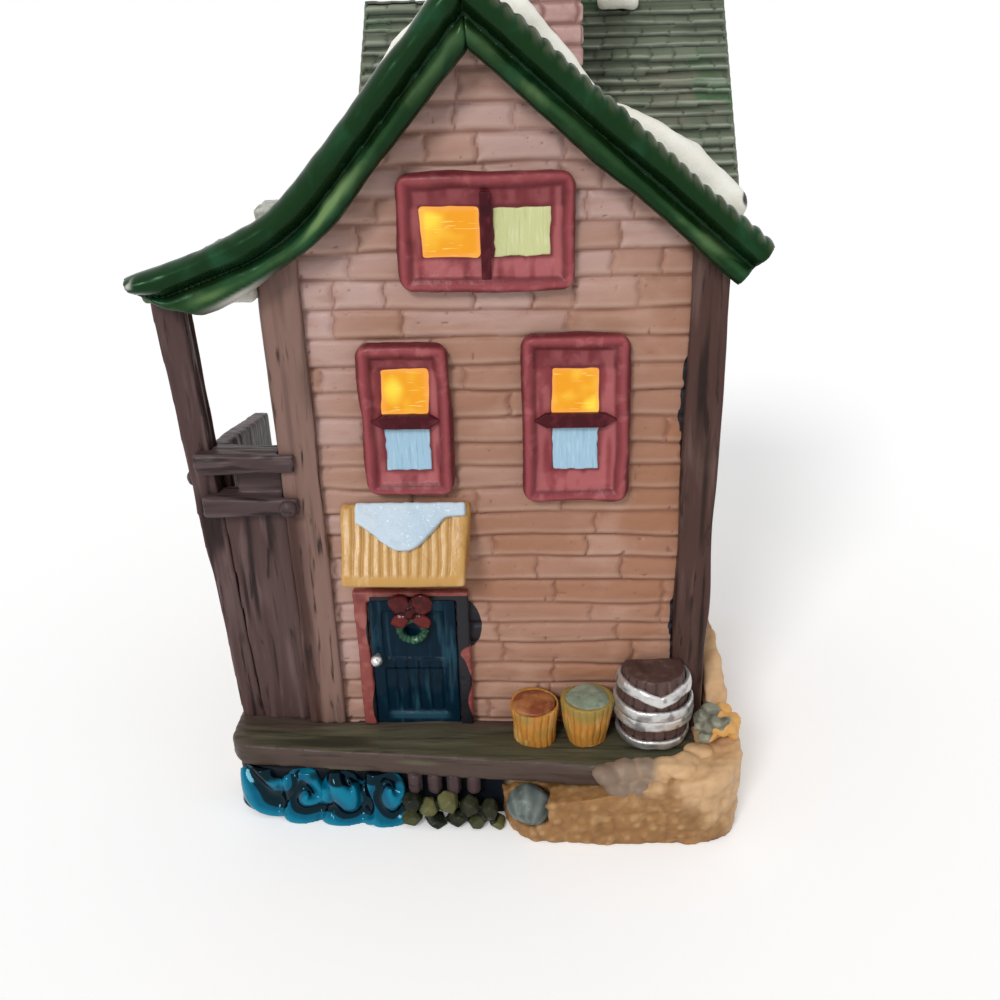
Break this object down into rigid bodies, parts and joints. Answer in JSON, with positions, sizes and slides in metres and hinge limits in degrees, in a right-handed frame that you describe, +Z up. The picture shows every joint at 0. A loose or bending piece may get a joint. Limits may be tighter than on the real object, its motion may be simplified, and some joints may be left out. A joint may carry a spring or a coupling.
{
  "type": "ceramic christmas village house",
  "caption": "Lighted ceramic village house: clapboard gable with flared porch roof, cross wing, snowy shingles and seaside base, hollow with a clip-in lamp at the back.",
  "frame": {"origin": "middle of the whole part's footprint, on the table", "axes": "+Z up, the door faces -Y, the porch is at -X"},
  "size_m": [0.117, 0.1108, 0.185],
  "materials": {
    "siding": "satin clapboards in pinkish tan",
    "timber": "purplish brown brushed timber paint",
    "deck": "olive brown brushed planks",
    "barge": "glossy deep green",
    "shingle": "grey green shingles with worn edges",
    "bisque": "white unpainted bisque",
    "brick": "pinkish brown brick",
    "stone": "speckled grey stone",
    "snow": "soft cream snow",
    "window": "brushed maroon",
    "film": "translucent amber film lit from behind",
    "door_red": "brick red",
    "door_navy": "glossy blue black",
    "silver": "silver paint",
    "wreath": "dark green",
    "awning": "golden ochre",
    "barrel": "dark brown staves",
    "basket": "golden ochre splints",
    "fruit": "red brown load",
    "greens": "pale green load",
    "ground": "bisque ground",
    "sand": "rough tan sand",
    "water": "glossy teal water",
    "rock": "olive and grey stones",
    "plant": "grey green leaves with orange flowers",
    "socket": "white moulded lampholder",
    "clip": "spring steel",
    "glass": "clear bulb",
    "cap": "plated screw shell",
    "wire": "lead and filament wire"
  },
  "bodies": {
    "house": {"front_wall": "siding", "left_wall": "siding", "right_wall": "siding", "back_left_wall": "siding", "wing_left_wall": "siding", "wing_back_wall": "siding", "corner_board_left": "timber", "corner_board_right": "timber", "porch_post": "timber", "porch_front_panel": "timber", "porch_side_panel": "timber", "porch_rail": "timber", "porch_pegs": "timber", "boardwalk_deck": "deck", "deck_piles": "deck", "bargeboard_left": "barge", "bargeboard_right": "barge", "front_roof_left": "shingle", "front_roof_right": "shingle", "wing_roof_left": "shingle", "wing_roof_right": "shingle", "wing_roof_back": "shingle", "porch_ceiling": "bisque", "brick_chimney": "brick", "stone_stack": "stone", "snow_front_slope": "snow", "snow_valley": "snow", "snow_ridge": "snow", "snow_rim": "snow", "awning_snow": "snow", "left_window_frame": "window", "right_window_frame": "window", "upper_window_frame": "window", "left_film_pane": "film", "right_film_pane": "film", "upper_film_pane": "film", "door_frame": "door_red", "wreath_bow": "door_red", "door_leaf": "door_navy", "door_knob": "silver", "barrel_hoops": "silver", "door_wreath": "wreath", "awning": "awning", "barrel": "barrel", "small_basket": "basket", "large_basket": "basket", "small_basket_fill": "fruit", "large_basket_fill": "greens", "ground_base": "ground", "sand_bank": "sand", "sand_dune": "sand", "water_waves": "water", "shore_rocks": "rock", "shore_plant": "plant"},
    "lamp_holder": {"lamp_socket": "socket", "spring_clip": "clip"},
    "bulb": {"bulb_glass": "glass", "bulb_cap": "cap", "bulb_contact": "cap", "bulb_filament": "wire"}
  },
  "joints": [
    {"name": "lamp_slide", "type": "slide", "parent": "house", "child": "lamp_holder", "axis": [0, 1, 0], "range_m": [0, 0.075]},
    {"name": "bulb_turn", "type": "hinge", "parent": "lamp_holder", "child": "bulb", "pos_m": [0.01725, 0.04345, 0.036], "axis": [0, 1, 0], "range_deg": [0, 1080]}
  ]
}
